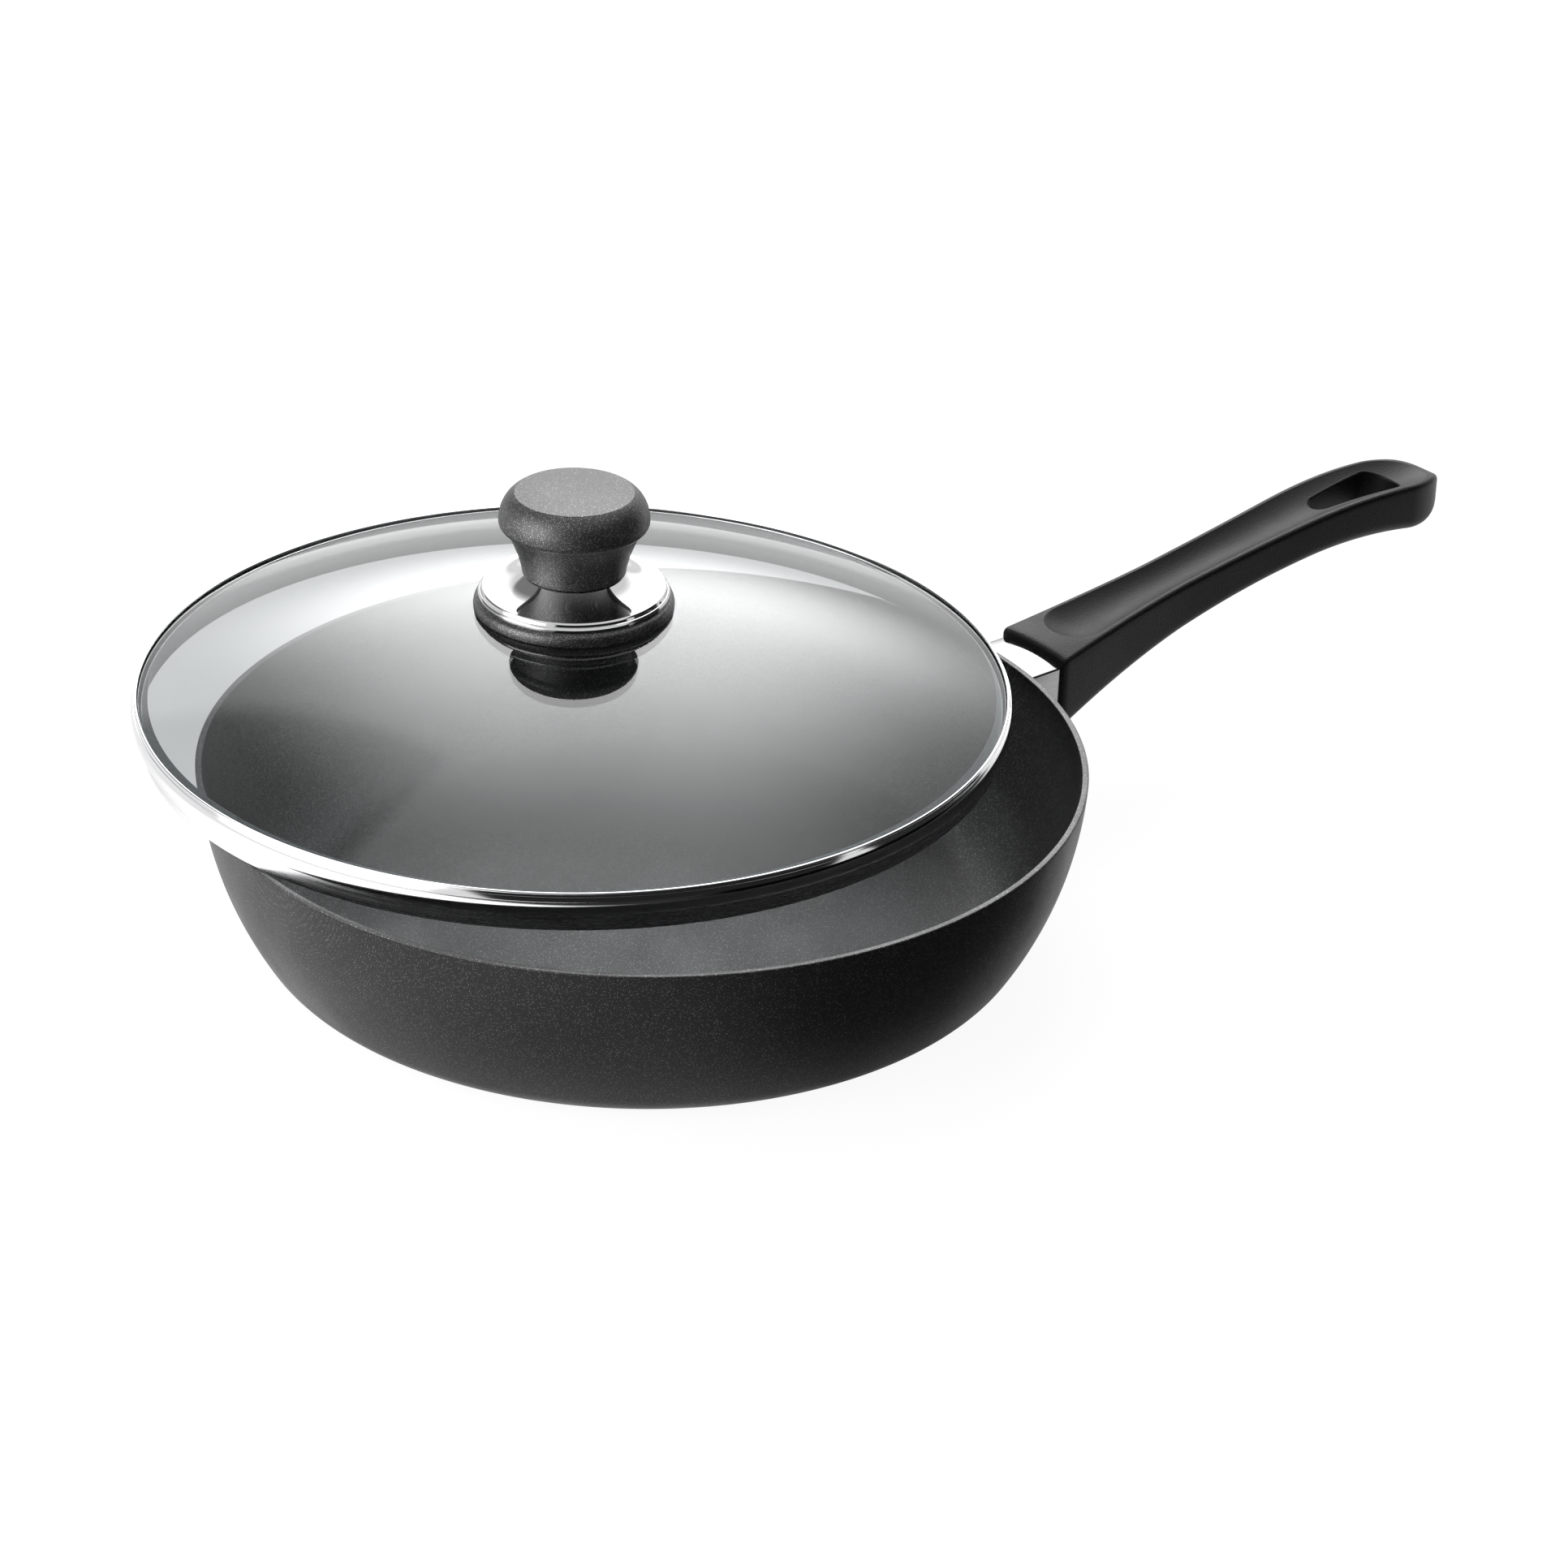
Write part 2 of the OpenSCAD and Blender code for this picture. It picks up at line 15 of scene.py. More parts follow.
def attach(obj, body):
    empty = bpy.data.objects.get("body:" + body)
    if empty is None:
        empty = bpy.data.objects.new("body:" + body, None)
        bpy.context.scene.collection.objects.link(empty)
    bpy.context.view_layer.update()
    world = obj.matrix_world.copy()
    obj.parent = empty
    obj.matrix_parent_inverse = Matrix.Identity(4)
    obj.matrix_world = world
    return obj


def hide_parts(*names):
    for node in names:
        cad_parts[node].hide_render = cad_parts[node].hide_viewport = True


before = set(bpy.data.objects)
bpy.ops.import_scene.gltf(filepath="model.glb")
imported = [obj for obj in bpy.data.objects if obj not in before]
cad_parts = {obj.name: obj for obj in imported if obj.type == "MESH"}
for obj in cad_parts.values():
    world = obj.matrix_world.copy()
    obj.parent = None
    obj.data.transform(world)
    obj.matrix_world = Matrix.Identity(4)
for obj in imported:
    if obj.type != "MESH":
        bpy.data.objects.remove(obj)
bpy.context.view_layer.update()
MM = 0.001

# Camera, fitted to the photo's rim, base and lid band
CAMERA_PLACE = (-804.54, -1045.42, 738.14)
CAMERA_RIGHT = (0.77935, -0.62612, 0.02418)
CAMERA_UP = (0.27275, 0.37374, 0.88652)
CAMERA_LENS = 108.0

# Pan
PAN_R, PAN_H = 140.0, 60.0
WALL_T, FLOOR_T = 2.1, 6.5
WALL_CURVE_R, RIM_LEAN = 112.7, 2.9
BASE_CORNER_R, FLOOR_FILLET_R = 16.2, 28.0
BASE_PLATE_R, BASE_PLATE_T = 92.0, 1.0
RIM_EDGE_R = 0.35
LUG_W, LUG_TOP, LUG_BOTTOM, LUG_END, LUG_ROOT = 16.0, 47.6, 38.1, 181.0, 1.3
RING_PITCH, RING_FAR, RING_DEPTH = 8, 88, 0.25

# Handle sleeve and grip
GRIP_X, GRIP_Z = 164.0, 52.3
SLEEVE_HALF_W, SLEEVE_TOP, SLEEVE_BOTTOM, SLEEVE_CROWN = 14.7, 49.4, 30.0, 1.3
SLEEVE_EDGE_R, SLEEVE_UNDER_R = 0.7, 1.5
SLEEVE_IN_WALL, SLEEVE_IN_GRIP, SLEEVE_END_INSET = 0.2, 0.4, 0.3
GRIP_LEN, GRIP_CAP, NOSE_LEN, NOSE_IN = 188.0, 22.8, 2.0, 1.3
GRIP_FRONT_W, GRIP_WAIST_W, GRIP_WAIST_AT, GRIP_END_W = 32.4, 22.3, 61.0, 28.2
GRIP_WIDE_AT = GRIP_LEN - GRIP_CAP - 2.0
GRIP_FRONT_POWER, GRIP_FAR_POWER, GRIP_END_POWER = 1.5, 1.3, 1.8
GRIP_FRONT_H, GRIP_THIN_H, GRIP_THIN_AT = 26.9, 14.6, 113.5
GRIP_CROWN, GRIP_CROWN_RUN = 1.0, 24.0
GRIP_RISE, GRIP_BACK_R, GRIP_BEND_AT, GRIP_BEND_R = 9.95, 3100.0, 117.5, 251.0
TIP_TOP_RUN, TIP_TOP_SHARE, TIP_UNDER_RUN, TIP_UNDER_SHARE = 11.9, 0.19, 22.6, 0.645
GROOVE_DEPTH, GROOVE_LAND, GROOVE_START, GROOVE_FAR = 3.3, 2.2, 8.8, 181.5
GROOVE_FRONT_RUN, GROOVE_FAR_RUN = 12.0, 17.0
GRIP_EDGE_R, GRIP_UNDER_R = 1.5, 4.0
SLOT_START, SLOT_END, SLOT_NEAR_W, SLOT_FAR_W = 293.0, 332.0, 9.4, 16.6
SLOT_EDGE_R, SLOT_CORNER, SLOT_POWER = 0.8, 7.5, 2.1

# Lid, from the plane of its crest
LID = (-3.7, 32.6, 72.5)
CREST_R, DOME_H, GLASS_T = 138.5, 30.0, 4.0
DOME_R = (CREST_R**2 + DOME_H**2) / (2 * DOME_H)
DOME_C = DOME_H - DOME_R
BAND_H, BAND_BULGE_R, SKIRT_H, SKIRT_T, SKIRT_R = 5.9, 7.0, 6.3, 0.6, 137.65
LIP_R, BEAD_R, LEDGE_R = 138.0, 0.45, 133.5
GLASS_R, HOLE_R = CREST_R + 0.2, 6.0

# Knob, from the top of the glass
FOOT_Z, CREASE_Z, WIDE_Z, KNOB_TOP_Z = 10.8, 25.9, 28.1, 37.5
FOOT_R, CREASE_R, HEAD_R, TOP_R = 16.4, 21.6, 23.8, 18.8
NECK_POWER, TOP_TURN, TOP_EDGE_R, TOP_FLAT_R = 1.4, 66, 1.2, 8
DISC_R, BASE_H, DISC_Z = 30.3, 2.9, 5.8
TRUMPET_H, TRUMPET_POWER = 5, 1.9

# Steps round each turned piece
PAN_STEPS, GLASS_STEPS, BAND_STEPS, KNOB_STEPS = 360, 360, 512, 192

# Floor, in metres and shares of white, and the share of white that the world lights with
FLOOR_HALF, FLOOR_Z = 8, -0.0004
FLOOR_DIFFUSE, FLOOR_GLOW, FLOOR_BOUNCE = 0.14, 0.93, 0.8
WORLD_FILL = 0.26


# Materials

def adder(tree):
    """A function that adds a shader node to a tree. An input is a value or another node's socket."""
    def add(kind, inputs=(), **settings):
        node = tree.nodes.new("ShaderNode" + kind)
        for key, value in settings.items():
            setattr(node, key, value)
        for socket, value in dict(inputs).items():
            if isinstance(value, bpy.types.NodeSocket):
                tree.links.new(value, node.inputs[socket])
            else:
                node.inputs[socket].default_value = value
        return node

    return add


def material(name):
    """A material, its Principled shader, a function that adds a node to it, and its link call."""
    mat = bpy.data.materials.new(name)
    mat.use_nodes = True
    tree = mat.node_tree
    return mat, tree.nodes["Principled BSDF"], adder(tree), tree.links.new


def ramp(add, source, low, high, low_value, high_value):
    """Source from low to high becomes low_value to high_value, smoothly, and stays there beyond."""
    node = add("MapRange", {"Value": source, "From Min": low, "From Max": high,
                            "To Min": low_value, "To Max": high_value})
    node.interpolation_type = "SMOOTHSTEP"
    return node.outputs["Result"]


def speckled(name, dark, fleck, roughness, grain, fleck_share, bump, tilt, specular=0.5):
    """A dark coating or moulding with pale metal flecks that tilt a little, and a fine grain."""
    mat, bsdf, add, link = material(name)
    place = add("TexCoord").outputs["Object"]
    fine = add("TexNoise", {"Vector": place, "Scale": grain, "Detail": 3.0, "Roughness": 0.6})
    broad = add("TexNoise", {"Vector": place, "Scale": 35.0, "Detail": 2.0})
    cells = add("TexVoronoi", {"Vector": place, "Scale": grain * 0.75})
    pick = add("SeparateColor", {"Color": cells.outputs["Color"]})
    # A cell is a fleck where its random number is near one, and it shows only near its middle
    chosen = ramp(add, pick.outputs["Red"], 1 - fleck_share, 1 - fleck_share * 0.4, 0.0, 1.0)
    middle = ramp(add, cells.outputs["Distance"], 0.25, 0.5, 1.0, 0.0)
    flecks = add("Math", {0: chosen, 1: middle}, operation="MULTIPLY").outputs[0]
    tone = add("Mix", {"Factor": ramp(add, fine.outputs["Fac"], 0.35, 0.65, 0.0, 1.0),
                       "A": (*[c * 0.72 for c in dark], 1), "B": (*[c * 1.35 for c in dark], 1)},
               data_type="RGBA")
    colour = add("Mix", {"Factor": flecks, "A": tone.outputs["Result"], "B": (*fleck, 1)},
                 data_type="RGBA")
    link(colour.outputs["Result"], bsdf.inputs["Base Color"])
    link(ramp(add, flecks, 0.0, 1.0, 0.0, 0.7), bsdf.inputs["Metallic"])
    link(ramp(add, broad.outputs["Fac"], 0.3, 0.7, roughness - 0.04, roughness + 0.04),
         bsdf.inputs["Roughness"])
    # Each fleck leans its own way, over a fine bump
    lean = add("VectorMath", {0: cells.outputs["Color"], 1: (0.5, 0.5, 0.5)}, operation="SUBTRACT")
    leaned = add("VectorMath", {0: lean.outputs[0], "Scale": tilt}, operation="SCALE")
    bumped = add("Bump", {"Height": fine.outputs["Fac"], "Strength": bump, "Distance": 0.0003})
    normal = add("VectorMath", {0: bumped.outputs["Normal"], 1: leaned.outputs[0]}, operation="ADD")
    unit = add("VectorMath", {0: normal.outputs[0]}, operation="NORMALIZE")
    link(unit.outputs[0], bsdf.inputs["Normal"])
    bsdf.inputs["Specular IOR Level"].default_value = specular
    return mat


def turned_metal(name, colour, roughness, streak, centre, bump=0.0):
    """Metal with fine marks that run round the vertical axis at centre. Streak is their share."""
    mat, bsdf, add, link = material(name)
    place = add("TexCoord").outputs["Object"]
    from_axis = add("VectorMath", {0: place, 1: [c * MM for c in centre]}, operation="SUBTRACT")
    parts = add("SeparateXYZ", {0: from_axis.outputs[0]})
    squares = [add("Math", {0: parts.outputs[axis], 1: 2.0}, operation="POWER").outputs[0] for axis in "XY"]
    total = add("Math", {0: squares[0], 1: squares[1]}, operation="ADD").outputs[0]
    radius = add("Math", {0: total, 1: 0.5}, operation="POWER").outputs[0]
    turn = add("Math", {0: parts.outputs["Y"], 1: parts.outputs["X"]}, operation="ARCTAN2").outputs[0]
    turn = add("Math", {0: turn, 1: 0.0012}, operation="MULTIPLY").outputs[0]
    spun = add("CombineXYZ", {"X": radius, "Y": turn, "Z": parts.outputs["Z"]}).outputs[0]
    marks = add("TexNoise", {"Vector": spun, "Scale": 3200.0, "Detail": 4.0, "Roughness": 0.7})
    wide = add("TexNoise", {"Vector": spun, "Scale": 500.0, "Detail": 2.0})
    both = add("Mix", {"Factor": 0.35, "A": marks.outputs["Fac"], "B": wide.outputs["Fac"]},
               data_type="FLOAT").outputs["Result"]
    tint = add("Mix", {"Factor": ramp(add, both, 0.3, 0.7, 0.0, 1.0),
                       "A": (*[c * (1 - 0.25 * streak) for c in colour], 1), "B": (*colour, 1)},
               data_type="RGBA")
    link(tint.outputs["Result"], bsdf.inputs["Base Color"])
    link(ramp(add, both, 0.25, 0.75, roughness, roughness * (1 + 1.2 * streak)),
         bsdf.inputs["Roughness"])
    bsdf.inputs["Metallic"].default_value = 1.0
    if bump:
        lifted = add("Bump", {"Height": both, "Strength": bump, "Distance": 0.0001})
        link(lifted.outputs["Normal"], bsdf.inputs["Normal"])
    return mat


def drawn_metal(name, colour, roughness, stretch):
    """Polished metal with faint marks along one direction and soft smudges. Stretch scales the axes."""
    mat, bsdf, add, link = material(name)
    place = add("TexCoord").outputs["Object"]
    along = add("VectorMath", {0: place, 1: stretch}, operation="MULTIPLY").outputs[0]
    marks = add("TexNoise", {"Vector": along, "Scale": 1800.0, "Detail": 3.0})
    smudge = add("TexNoise", {"Vector": place, "Scale": 60.0, "Detail": 3.0})
    tint = add("Mix", {"Factor": ramp(add, marks.outputs["Fac"], 0.35, 0.65, 0.0, 1.0),
                       "A": (*[c * 0.93 for c in colour], 1), "B": (*colour, 1)}, data_type="RGBA")
    link(tint.outputs["Result"], bsdf.inputs["Base Color"])
    link(ramp(add, smudge.outputs["Fac"], 0.35, 0.7, roughness, roughness * 1.8),
         bsdf.inputs["Roughness"])
    bsdf.inputs["Metallic"].default_value = 1.0
    return mat


def grained_plastic(name, dark, roughness, bump, grain, specular):
    """Moulded plastic with the fine even grain of its mould and faint rubbing."""
    mat, bsdf, add, link = material(name)
    place = add("TexCoord").outputs["Object"]
    fine = add("TexNoise", {"Vector": place, "Scale": grain, "Detail": 2.0, "Roughness": 0.5})
    rubbed = add("TexNoise", {"Vector": place, "Scale": 45.0, "Detail": 4.0})
    tone = add("Mix", {"Factor": ramp(add, fine.outputs["Fac"], 0.35, 0.65, 0.0, 1.0),
                       "A": (*[c * 0.75 for c in dark], 1), "B": (*[c * 1.4 for c in dark], 1)},
               data_type="RGBA")
    link(tone.outputs["Result"], bsdf.inputs["Base Color"])
    link(ramp(add, rubbed.outputs["Fac"], 0.35, 0.7, roughness + 0.03, roughness - 0.04),
         bsdf.inputs["Roughness"])
    lifted = add("Bump", {"Height": fine.outputs["Fac"], "Strength": bump, "Distance": 0.0003})
    link(lifted.outputs["Normal"], bsdf.inputs["Normal"])
    bsdf.inputs["Specular IOR Level"].default_value = specular
    return mat


def clear_glass(name, tint, shade):
    """Glass of real thickness. Lamps pass it, a little dimmed, so that the pan below is lit."""
    mat, bsdf, add, link = material(name)
    place = add("TexCoord").outputs["Object"]
    wipe = add("TexNoise", {"Vector": place, "Scale": 25.0, "Detail": 3.0})
    colour = add("Mix", {"Factor": ramp(add, wipe.outputs["Fac"], 0.3, 0.7, 0.0, 1.0),
                         "A": (*[c * 0.98 for c in tint], 1), "B": (*tint, 1)}, data_type="RGBA")
    link(colour.outputs["Result"], bsdf.inputs["Base Color"])
    bsdf.inputs["Transmission Weight"].default_value = 1.0
    bsdf.inputs["Roughness"].default_value = 0.0
    bsdf.inputs["IOR"].default_value = 1.5
    lamps = add("BsdfTransparent", {"Color": (*shade, 1)})
    path = add("LightPath")
    mixed = add("MixShader", {0: path.outputs["Is Shadow Ray"], 1: bsdf.outputs[0],
                              2: lamps.outputs[0]})
    link(mixed.outputs[0], mat.node_tree.nodes["Material Output"].inputs["Surface"])
    return mat


COATING = speckled("coating", dark=(0.015, 0.0148, 0.015), fleck=(0.30, 0.30, 0.305), roughness=0.40,
                   grain=3600.0, fleck_share=0.30, bump=0.10, tilt=0.08)
# The outer wall's coating is the inside's made darker: painted shade on the outer wall
COATING_OUTSIDE_SHADED = speckled("coating_outside_painted_shade", dark=(0.008, 0.008, 0.0082), fleck=(0.15, 0.15, 0.153),
                           roughness=0.38, grain=4200.0, fleck_share=0.25, bump=0.10, tilt=0.05,
                           specular=0.18)
# The knob's sides: a copy with many more metal flecks than its top, painted sheen
KNOB_SIDE_SHEEN = speckled("knob_side_painted_sheen", dark=(0.012, 0.012, 0.0122), fleck=(0.30, 0.30, 0.305), roughness=0.42,
                     grain=3800.0, fleck_share=0.50, bump=0.15, tilt=0.10, specular=0.7)
KNOB_PLASTIC = speckled("knob_plastic", dark=(0.020, 0.020, 0.021), fleck=(0.40, 0.40, 0.41),
                        roughness=0.33, grain=4200.0, fleck_share=0.12, bump=0.25, tilt=0.22,
                        specular=0.36)
BASE_PLASTIC = speckled("base_plastic", dark=(0.010, 0.010, 0.0102), fleck=(0.30, 0.30, 0.305),
                        roughness=0.36, grain=3800.0, fleck_share=0.50, bump=0.15, tilt=0.10,
                        specular=0.7)
GRIP_PLASTIC = grained_plastic("grip_plastic", dark=(0.003, 0.003, 0.0031), roughness=0.42, bump=0.5,
                               grain=2000.0, specular=0.17)
SILICONE = grained_plastic("grommet_silicone", dark=(0.55, 0.55, 0.53), roughness=0.5, bump=0.1,
                           grain=900.0, specular=0.4)
POLISHED = drawn_metal("polished_sleeve", (0.32, 0.32, 0.325), roughness=0.06, stretch=(0.15, 1.0, 1.0))
SCREW_STEEL = drawn_metal("screw_steel", (0.58, 0.58, 0.59), roughness=0.22, stretch=(1.0, 0.2, 1.0))
BRASS = drawn_metal("insert_brass", (0.72, 0.55, 0.26), roughness=0.25, stretch=(1.0, 1.0, 0.2))
BAND_METAL = turned_metal("band_bulge", (0.74, 0.74, 0.75), roughness=0.07, streak=0.4, centre=LID)
# The band's inner skirt, ledge and face under the glass: a darker copy of its steel, painted shade
BAND_INSIDE_SHADED = turned_metal("band_inside_painted_shade", (0.33, 0.35, 0.36), roughness=0.12, streak=1.0, centre=LID,
                           bump=0.3)
SKIRT_METAL = turned_metal("band_skirt", (0.70, 0.70, 0.71), roughness=0.16, streak=1.0, centre=LID,
                           bump=0.15)
MIRROR = turned_metal("disc_mirror", (0.60, 0.60, 0.605), roughness=0.04, streak=0.3, centre=LID)
BASE_STEEL = turned_metal("base_plate_steel", (0.56, 0.56, 0.56), roughness=0.22, streak=1.0,
                          centre=(0, 0, 0), bump=0.4)
# The glass's grey tint is painted shade: it darkens all that is seen through it, standing in for the shade
# under the lid
GLASS = clear_glass("lid_glass", tint=(0.50, 0.52, 0.525), shade=(0.90, 0.905, 0.905))


# Meshes

def arc(cx, cz, rx, rz, start, end, count):
    """Points on an ellipse's arc, angles in degrees."""
    return [(cx + rx * math.cos(math.radians(start + (end - start) * i / count)),
             cz + rz * math.sin(math.radians(start + (end - start) * i / count)))
            for i in range(count + 1)]


def rounded(points, radii, closed=False, count=5):
    """A line through points whose corners are rounded by the radii, one for each point."""
    out, n = [], len(points)
    for i, (p, r) in enumerate(zip(points, radii)):
        if r <= 0 or (not closed and i in (0, n - 1)):
            out.append(p)
            continue
        p = Vector(p)
        a, b = Vector(points[i - 1]) - p, Vector(points[(i + 1) % n]) - p
        angle = a.angle(b)
        reach = min(r / math.tan(angle / 2), 0.49 * a.length, 0.49 * b.length)
        real = reach * math.tan(angle / 2)
        middle = p + (a.normalized() + b.normalized()).normalized() * (real / math.sin(angle / 2))
        u, v = p + a.normalized() * reach - middle, p + b.normalized() * reach - middle
        turn = u.angle_signed(v)
        for k in range(count + 1):
            out.append(tuple(middle + Matrix.Rotation(-turn * k / count, 2) @ u))
    return out


def piece(name, points, faces, finish, body, nodes, slot, crease=35.0):
    """A mesh piece from points in mm. Finish is one material, or some and each face's index."""
    mesh = bpy.data.meshes.new(name)
    mesh.from_pydata([Vector(p) * MM for p in points], [], faces)
    materials, index = finish if isinstance(finish, tuple) else ([finish], None)
    for m in materials:
        mesh.materials.append(m)
    if index:
        mesh.polygons.foreach_set("material_index", index)
    bm = bmesh.new()
    bm.from_mesh(mesh)
    bmesh.ops.remove_doubles(bm, verts=bm.verts, dist=0.002 * MM)
    bmesh.ops.recalc_face_normals(bm, faces=bm.faces)
    bm.to_mesh(mesh)
    bm.free()
    mesh.shade_smooth()
    mesh.set_sharp_from_angle(angle=math.radians(crease))
    obj = bpy.data.objects.new(name, mesh)
    bpy.context.scene.collection.objects.link(obj)
    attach(obj, body)
    if nodes:
        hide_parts(*nodes)
    return obj


def lathe(profile, centre=(0, 0, 0), segments=256, closed=False):
    """Points and faces of a profile of (radius, height) turned about the vertical axis at centre."""
    points = [(centre[0] + r * math.cos(2 * math.pi * k / segments),
               centre[1] + r * math.sin(2 * math.pi * k / segments), centre[2] + z)
              for r, z in profile for k in range(segments)]
    faces, n = [], len(profile)
    for i in range(n if closed else n - 1):
        j = (i + 1) % n
        for k in range(segments):
            m = (k + 1) % segments
            face = [i * segments + k, i * segments + m, j * segments + m, j * segments + k]
            if profile[i][0] == 0:
                face = [i * segments, face[2], face[3]]
            elif profile[j][0] == 0:
                face = [face[0], face[1], j * segments]
            faces.append(face)
    return points, faces


def strip_faces(first, rows, length, closed=False):
    """Faces between rows of points of one length, which start at the point numbered first."""
    faces = []
    for j in range(rows - 1):
        start = first + j * length
        for i in range(length if closed else length - 1):
            k = (i + 1) % length
            faces.append([start + i, start + k, start + length + k, start + length + i])
    return faces


def smooth(t):
    """From 0 to 1 with level ends."""
    t = min(1.0, max(0.0, t))
    return t * t * (3 - 2 * t)


# Pan: the wall is one long arc that turns into the base outside and into the floor inside
lean = math.radians(RIM_LEAN)
wall_x, wall_z = PAN_R - WALL_CURVE_R * math.cos(lean), PAN_H + WALL_CURVE_R * math.sin(lean)


def corner_centre(r, z, arc_r):
    """Centre of a fillet of radius r that touches height z and, from inside, the wall's arc."""
    return wall_x + math.sqrt((arc_r - r) ** 2 - (wall_z - z - r) ** 2), z + r


def wall_radius(z, arc_r=WALL_CURVE_R):
    """Radius of the wall's arc at height z."""
    return wall_x + math.sqrt(arc_r**2 - (wall_z - z) ** 2)


base_x, base_z = corner_centre(BASE_CORNER_R, 0, WALL_CURVE_R)
floor_x, floor_z = corner_centre(FLOOR_FILLET_R, FLOOR_T, WALL_CURVE_R - WALL_T)
inner_r = WALL_CURVE_R - WALL_T
base_turn = math.degrees(math.atan2(base_z - wall_z, base_x - wall_x))
floor_turn = math.degrees(math.atan2(floor_z - wall_z, floor_x - wall_x))
inner_top = -math.degrees(math.asin((wall_z - PAN_H) / inner_r))

outside = (arc(base_x, base_z, BASE_CORNER_R, BASE_CORNER_R, -90, base_turn, 16)
           + arc(wall_x, wall_z, WALL_CURVE_R, WALL_CURVE_R, base_turn, -RIM_LEAN, 40)[1:-1])
inside = (arc(wall_x, wall_z, inner_r, inner_r, inner_top, floor_turn, 36)[1:]
          + arc(floor_x, floor_z, FLOOR_FILLET_R, FLOOR_FILLET_R, floor_turn, -90, 24)[1:])
rim = rounded([outside[-1], (PAN_R, PAN_H), (wall_radius(PAN_H, inner_r), PAN_H), inside[0]],
              [0, RIM_EDGE_R, RIM_EDGE_R, 0])[1:-1]
recess = rounded([(0, BASE_PLATE_T), (BASE_PLATE_R + 0.1, BASE_PLATE_T), (BASE_PLATE_R + 0.1, 0),
                  (BASE_PLATE_R + 2, 0)], [0, 0, 0.3, 0])
pan_points, pan_faces = lathe(recess + outside + rim + inside + [(60, FLOOR_T), (0, FLOOR_T)],
                              segments=PAN_STEPS)

# The lug inside the sleeve starts in the wall's thickness, which leans outward as it rises
lug_points = [(LUG_END if far else wall_radius(z) - LUG_ROOT, y, z)
              for far in (False, True) for y in (-LUG_W / 2, LUG_W / 2) for z in (LUG_BOTTOM, LUG_TOP)]
lug_faces = [[0, 1, 3, 2], [4, 6, 7, 5], [0, 4, 5, 1], [2, 3, 7, 6], [0, 2, 6, 4], [1, 5, 7, 3]]
pan_faces += [[i + len(pan_points) for i in f] for f in lug_faces]
pan_points += lug_points
# The outside is a darker copy of the inside's coating, painted shade on the outer wall, and it also shines
# less
pan_outside = PAN_STEPS * (len(recess) + len(outside))
pan_finish = [1 if i < pan_outside else 0 for i in range(len(pan_faces))]
piece("pan", pan_points, pan_faces, ([COATING, COATING_OUTSIDE_SHADED], pan_finish), "pan", ["pan_body"],
      "pan_coating")

# Base plate: spun steel with shallow rings
rings = [(0, 0.35)]
for r in range(RING_PITCH, RING_FAR, RING_PITCH):
    rings += [(r - 0.7, 0.0), (r - 0.5, RING_DEPTH), (r + 0.5, RING_DEPTH), (r + 0.7, 0.0)]
rings += [(BASE_PLATE_R - 0.4, 0.0), (BASE_PLATE_R, 0.4), (BASE_PLATE_R, BASE_PLATE_T),
          (0, BASE_PLATE_T)]
piece("base_plate_spun", *lathe(rings), BASE_STEEL, "pan", ["base_plate"], "base_steel")


# Sleeve: a crowned section swept from just inside the pan's wall to just inside the grip
crown_r = (SLEEVE_HALF_W**2 + SLEEVE_CROWN**2) / (2 * SLEEVE_CROWN)
crown_a = math.degrees(math.asin(SLEEVE_HALF_W / crown_r))
section = ([(-SLEEVE_HALF_W, SLEEVE_BOTTOM), (SLEEVE_HALF_W, SLEEVE_BOTTOM)]
           + arc(0, SLEEVE_TOP + SLEEVE_CROWN - crown_r, crown_r, crown_r, 90 - crown_a, 90 + crown_a, 20))
section_radii = [SLEEVE_UNDER_R, SLEEVE_UNDER_R, SLEEVE_EDGE_R] + [0] * 19 + [SLEEVE_EDGE_R]
section = rounded(section, section_radii, closed=True, count=6)
sleeve_points = []
shares = [0.0, 0.5, 0.97, 1.0]
for t in shares:
    inset = SLEEVE_END_INSET if t == 1.0 else 0.0
    for y, z in section:
        start = math.sqrt(wall_radius(z) ** 2 - y**2) - SLEEVE_IN_WALL
        sleeve_points.append((start + (GRIP_X + SLEEVE_IN_GRIP - start) * t,
                              y * (1 - inset / SLEEVE_HALF_W), z))
sleeve_faces = strip_faces(0, len(shares), len(section), closed=True)
piece("sleeve", sleeve_points, sleeve_faces, POLISHED, "pan", ["handle_sleeve"], "polished_sleeve")


# Grip, by the same lines as the CAD source. D is the distance from its front, along X.

def grip_top(d):
    """Height of the grip's back, which rises, then bends down to the tip."""
    bend = max(0.0, d - GRIP_BEND_AT) ** 2 / (2 * GRIP_BEND_R)
    return GRIP_Z + d * math.tan(math.radians(GRIP_RISE)) - d * d / (2 * GRIP_BACK_R) - bend


def grip_height(d):
    """Height of the section, least at the thin place."""
    return GRIP_THIN_H + (GRIP_FRONT_H - GRIP_THIN_H) * ((d - GRIP_THIN_AT) / GRIP_THIN_AT) ** 2


def grip_half_width(d):
    """Half width of the grip, least at the waist, without its round end."""
    if d < GRIP_WAIST_AT:
        swell = (1 - d / GRIP_WAIST_AT) ** GRIP_FRONT_POWER
        return (GRIP_WAIST_W + (GRIP_FRONT_W - GRIP_WAIST_W) * swell) / 2
    t = min(1.0, (d - GRIP_WAIST_AT) / (GRIP_WIDE_AT - GRIP_WAIST_AT))
    return (GRIP_WAIST_W + (GRIP_END_W - GRIP_WAIST_W) * smooth(t**GRIP_FAR_POWER)) / 2


